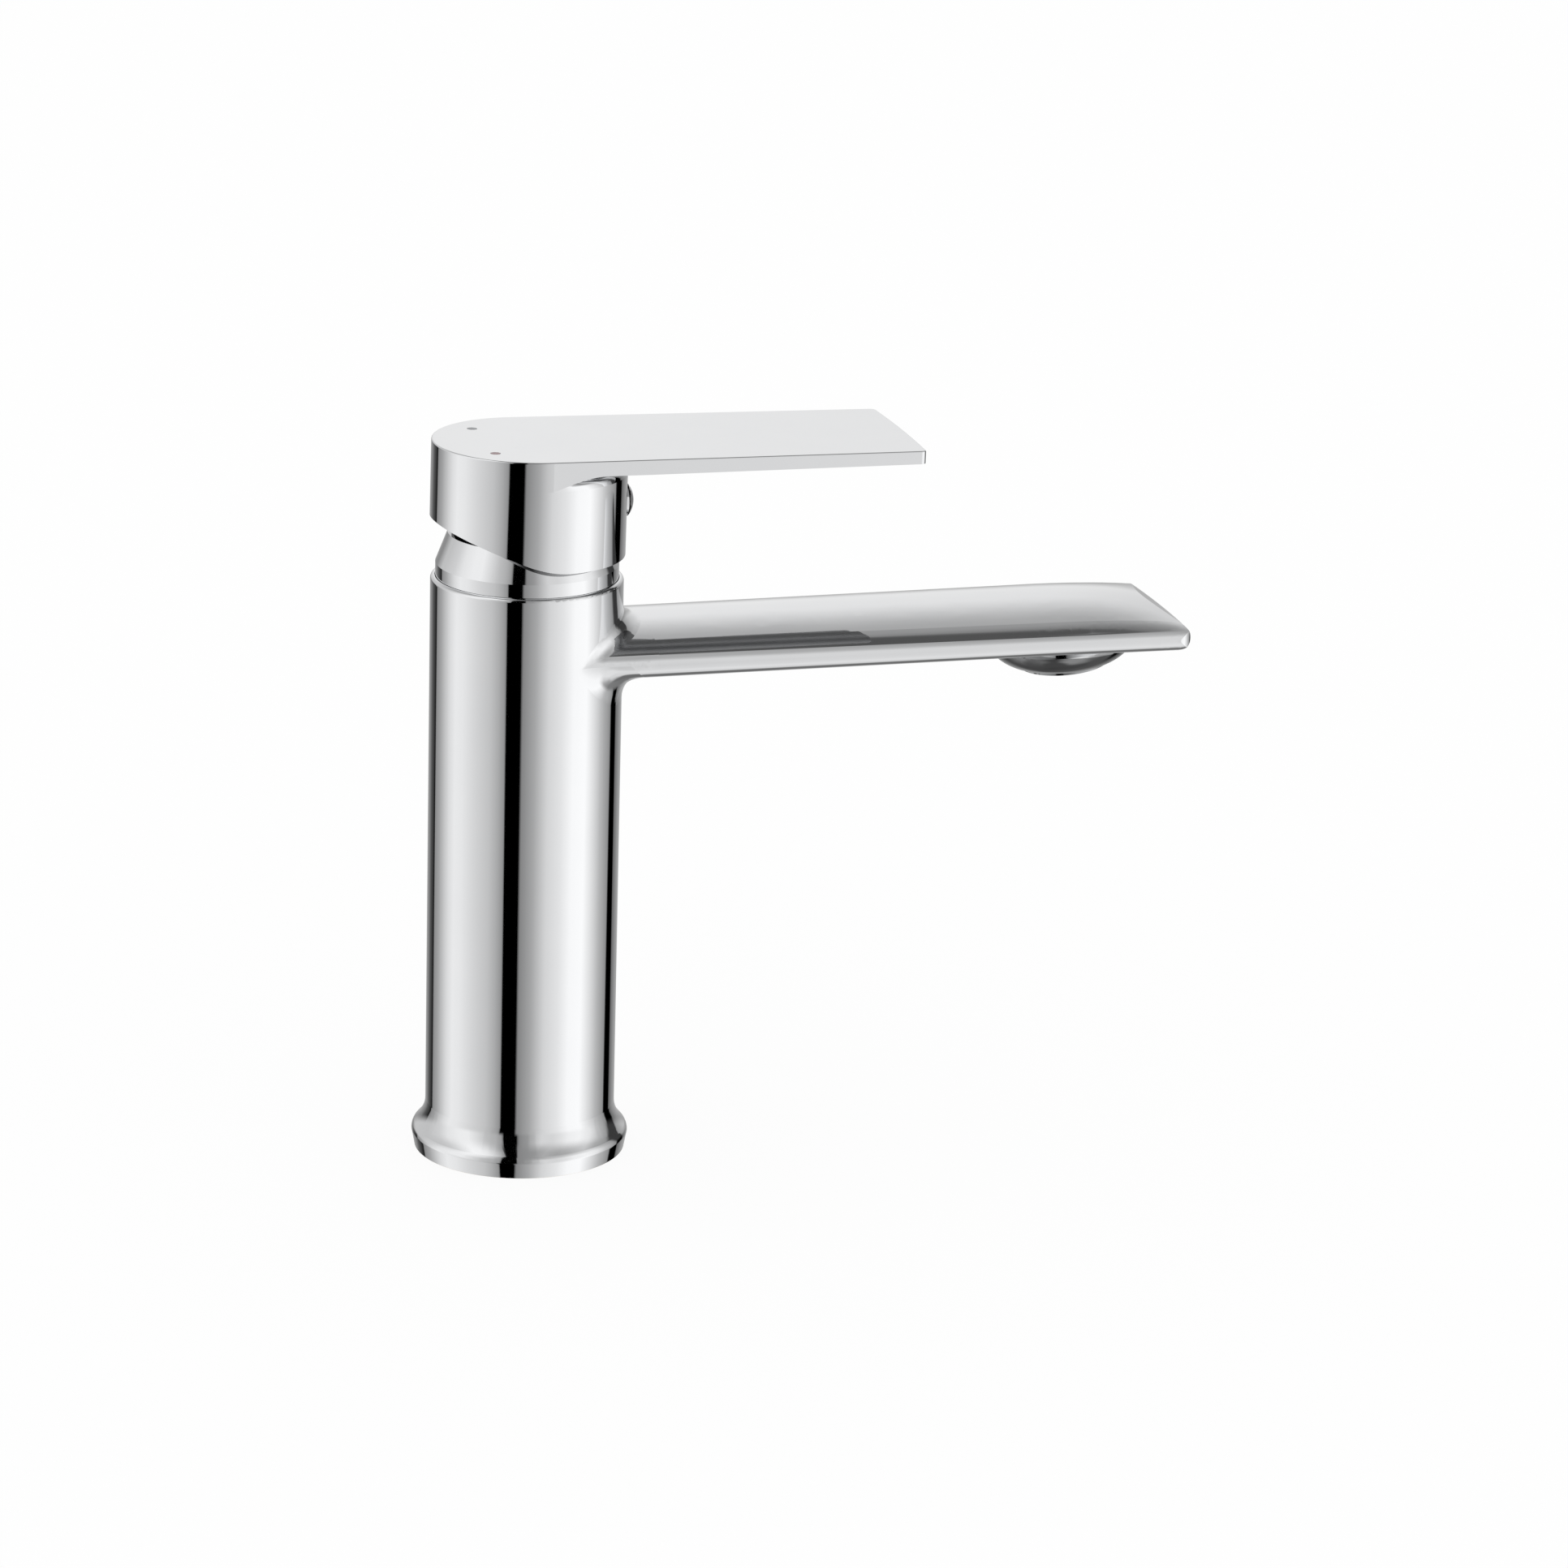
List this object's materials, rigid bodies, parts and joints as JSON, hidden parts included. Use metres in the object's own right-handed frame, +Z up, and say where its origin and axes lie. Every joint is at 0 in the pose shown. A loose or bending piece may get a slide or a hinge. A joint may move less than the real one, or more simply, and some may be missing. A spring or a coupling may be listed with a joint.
{
  "type": "basin mixer faucet",
  "caption": "Chromed single-lever basin mixer: round column, flat crowned spout with a tilted aerator, ceramic cartridge, and a flat lever that lifts and swivels.",
  "frame": {"origin": "on the column axis at deck level, the underside of the foot", "axes": "+Z up along the column, +X along the spout, hot side at -Y"},
  "size_m": [0.1827, 0.0514, 0.1728],
  "materials": {
    "chromed_brass": "polished chrome plate on cast brass",
    "chromed_shroud": "polished chrome plate",
    "chromed_zinc": "polished chrome plate on cast zinc",
    "plug_chrome": "chromed plastic",
    "sleeve_chrome": "chrome plate on brass",
    "base_rubber": "moulded black rubber",
    "seal_rubber": "moulded black rubber",
    "white_plastic": "moulded",
    "housing_plastic": "moulded",
    "carrier_plastic": "moulded",
    "aerator_plastic": "moulded",
    "ceramic": "lapped alumina",
    "nut_brass": "machined",
    "stem_brass": "machined",
    "steel": "stainless",
    "white_ring": "moulded",
    "hot_enamel": "enamel",
    "cold_enamel": "enamel"
  },
  "bodies": {
    "base": {"body": "chromed_brass", "spout": "chromed_brass", "inlet_block": "nut_brass", "inlet_o_ring": "seal_rubber", "base_gasket": "base_rubber", "cartridge_base": "white_plastic", "cartridge_seals": "seal_rubber", "fixed_disc": "ceramic", "cartridge_housing": "housing_plastic", "housing_o_ring": "seal_rubber", "retaining_nut": "nut_brass", "shroud_ring": "white_ring", "shroud": "chromed_shroud", "aerator_sleeve": "sleeve_chrome", "aerator_core": "aerator_plastic", "aerator_screen": "steel", "aerator_gasket": "base_rubber"},
    "turret": {"stem_carrier": "carrier_plastic", "stem_pin": "steel"},
    "lever": {"handle": "chromed_zinc", "stem": "stem_brass", "set_screw": "steel", "plug_cap": "plug_chrome", "hot_dot": "hot_enamel", "cold_dot": "cold_enamel"},
    "disc_slider": {"disc_carrier": "carrier_plastic", "moving_disc": "ceramic"}
  },
  "joints": [
    {"name": "lever_swivel", "type": "hinge", "parent": "base", "child": "turret", "pos_m": [0, 0, 0.15], "axis": [0, 0, 1], "range_deg": [-45, 45]},
    {"name": "lever_lift", "type": "hinge", "parent": "turret", "child": "lever", "pos_m": [0, 0, 0.15], "axis": [0, -1, 0], "range_deg": [0, 22]},
    {"name": "disc_slide", "type": "slide", "parent": "turret", "child": "disc_slider", "axis": [1, 0, 0], "range_m": [0, 0.0046]}
  ],
  "couplings": [
    {"joint": "disc_slide", "follows": "lever_lift", "m_per_rad": 0.01171}
  ]
}
